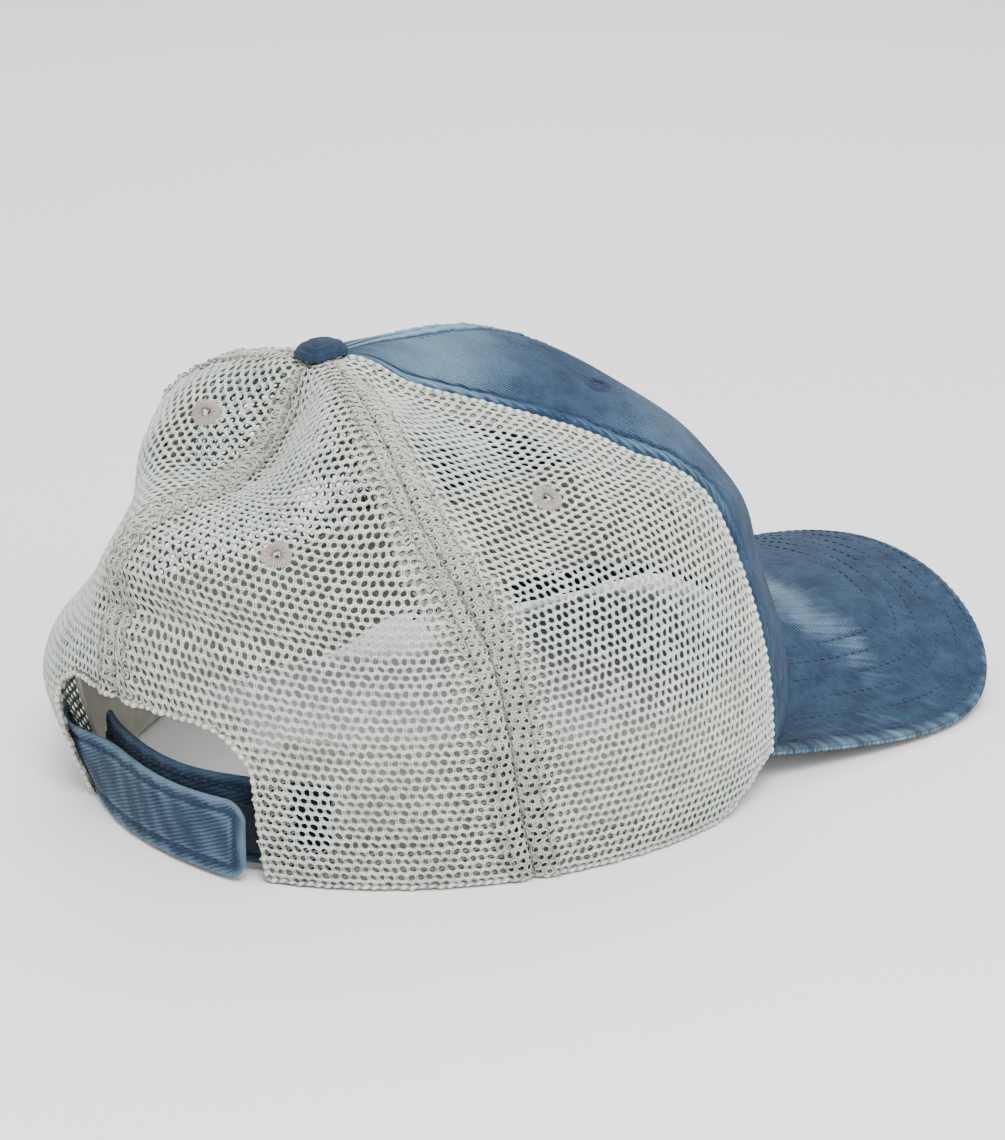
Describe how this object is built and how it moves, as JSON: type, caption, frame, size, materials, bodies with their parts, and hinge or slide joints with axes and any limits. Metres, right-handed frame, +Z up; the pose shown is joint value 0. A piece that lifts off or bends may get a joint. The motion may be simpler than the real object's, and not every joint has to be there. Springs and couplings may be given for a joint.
{
  "type": "trucker mesh cap",
  "caption": "Soft slumped cap with cloth front panels and peak, knitted mesh side and back panels, covered top button and a rear opening with a touch-fastened strap.",
  "frame": {"origin": "middle of the head opening, on the surface that the hem rests on", "axes": "+Z up to the button, -Y to the front of the head, +X to the wearer's left"},
  "size_m": [0.1761, 0.2699, 0.1161],
  "materials": {
    "cloth": "washed cotton twill",
    "cloth_thread": "embroidery thread",
    "mesh": "knitted net",
    "mesh_thread": "embroidery thread",
    "tape": "plain woven tape",
    "sweatband": "cotton twill",
    "board": "moulded",
    "fastener": "hook and loop",
    "metal": "stamped"
  },
  "bodies": {
    "crown": {"front_panel_right": "cloth", "front_panel_left": "cloth", "side_mesh_right": "mesh", "side_mesh_left": "mesh", "back_mesh_right": "mesh", "back_mesh_left": "mesh", "eyelet_front_right": "cloth_thread", "eyelet_front_left": "cloth_thread", "eyelet_side_right": "mesh_thread", "eyelet_side_left": "mesh_thread", "eyelet_back_right": "mesh_thread", "eyelet_back_left": "mesh_thread", "tape_front_centre": "tape", "tape_front_right": "tape", "tape_front_left": "tape", "tape_rear_right": "tape", "tape_rear_left": "tape", "tape_back_centre": "tape", "sweatband": "sweatband", "sweatband_lining": "tape", "hem_turning_right": "mesh", "hem_turning_left": "mesh", "opening_facing": "mesh", "peak_top_cloth": "cloth", "peak_board": "board", "peak_under_cloth": "cloth", "under_strap": "cloth", "loop_patch": "fastener", "button_cover": "cloth", "button_shell": "metal", "button_prong": "metal"},
    "strap": {"strap_root": "cloth"},
    "tail": {"strap_tail": "cloth", "hook_patch": "fastener"}
  },
  "joints": [
    {"name": "size_adjust", "type": "hinge", "parent": "crown", "child": "strap", "pos_m": [0, 0.0253, 0], "axis": [0, 0, 1], "range_deg": [-9, 0]},
    {"name": "strap_peel", "type": "hinge", "parent": "strap", "child": "tail", "pos_m": [0.00988, 0.09561, 0.0106], "axis": [0, 0, 1], "range_deg": [-110, 0]}
  ]
}
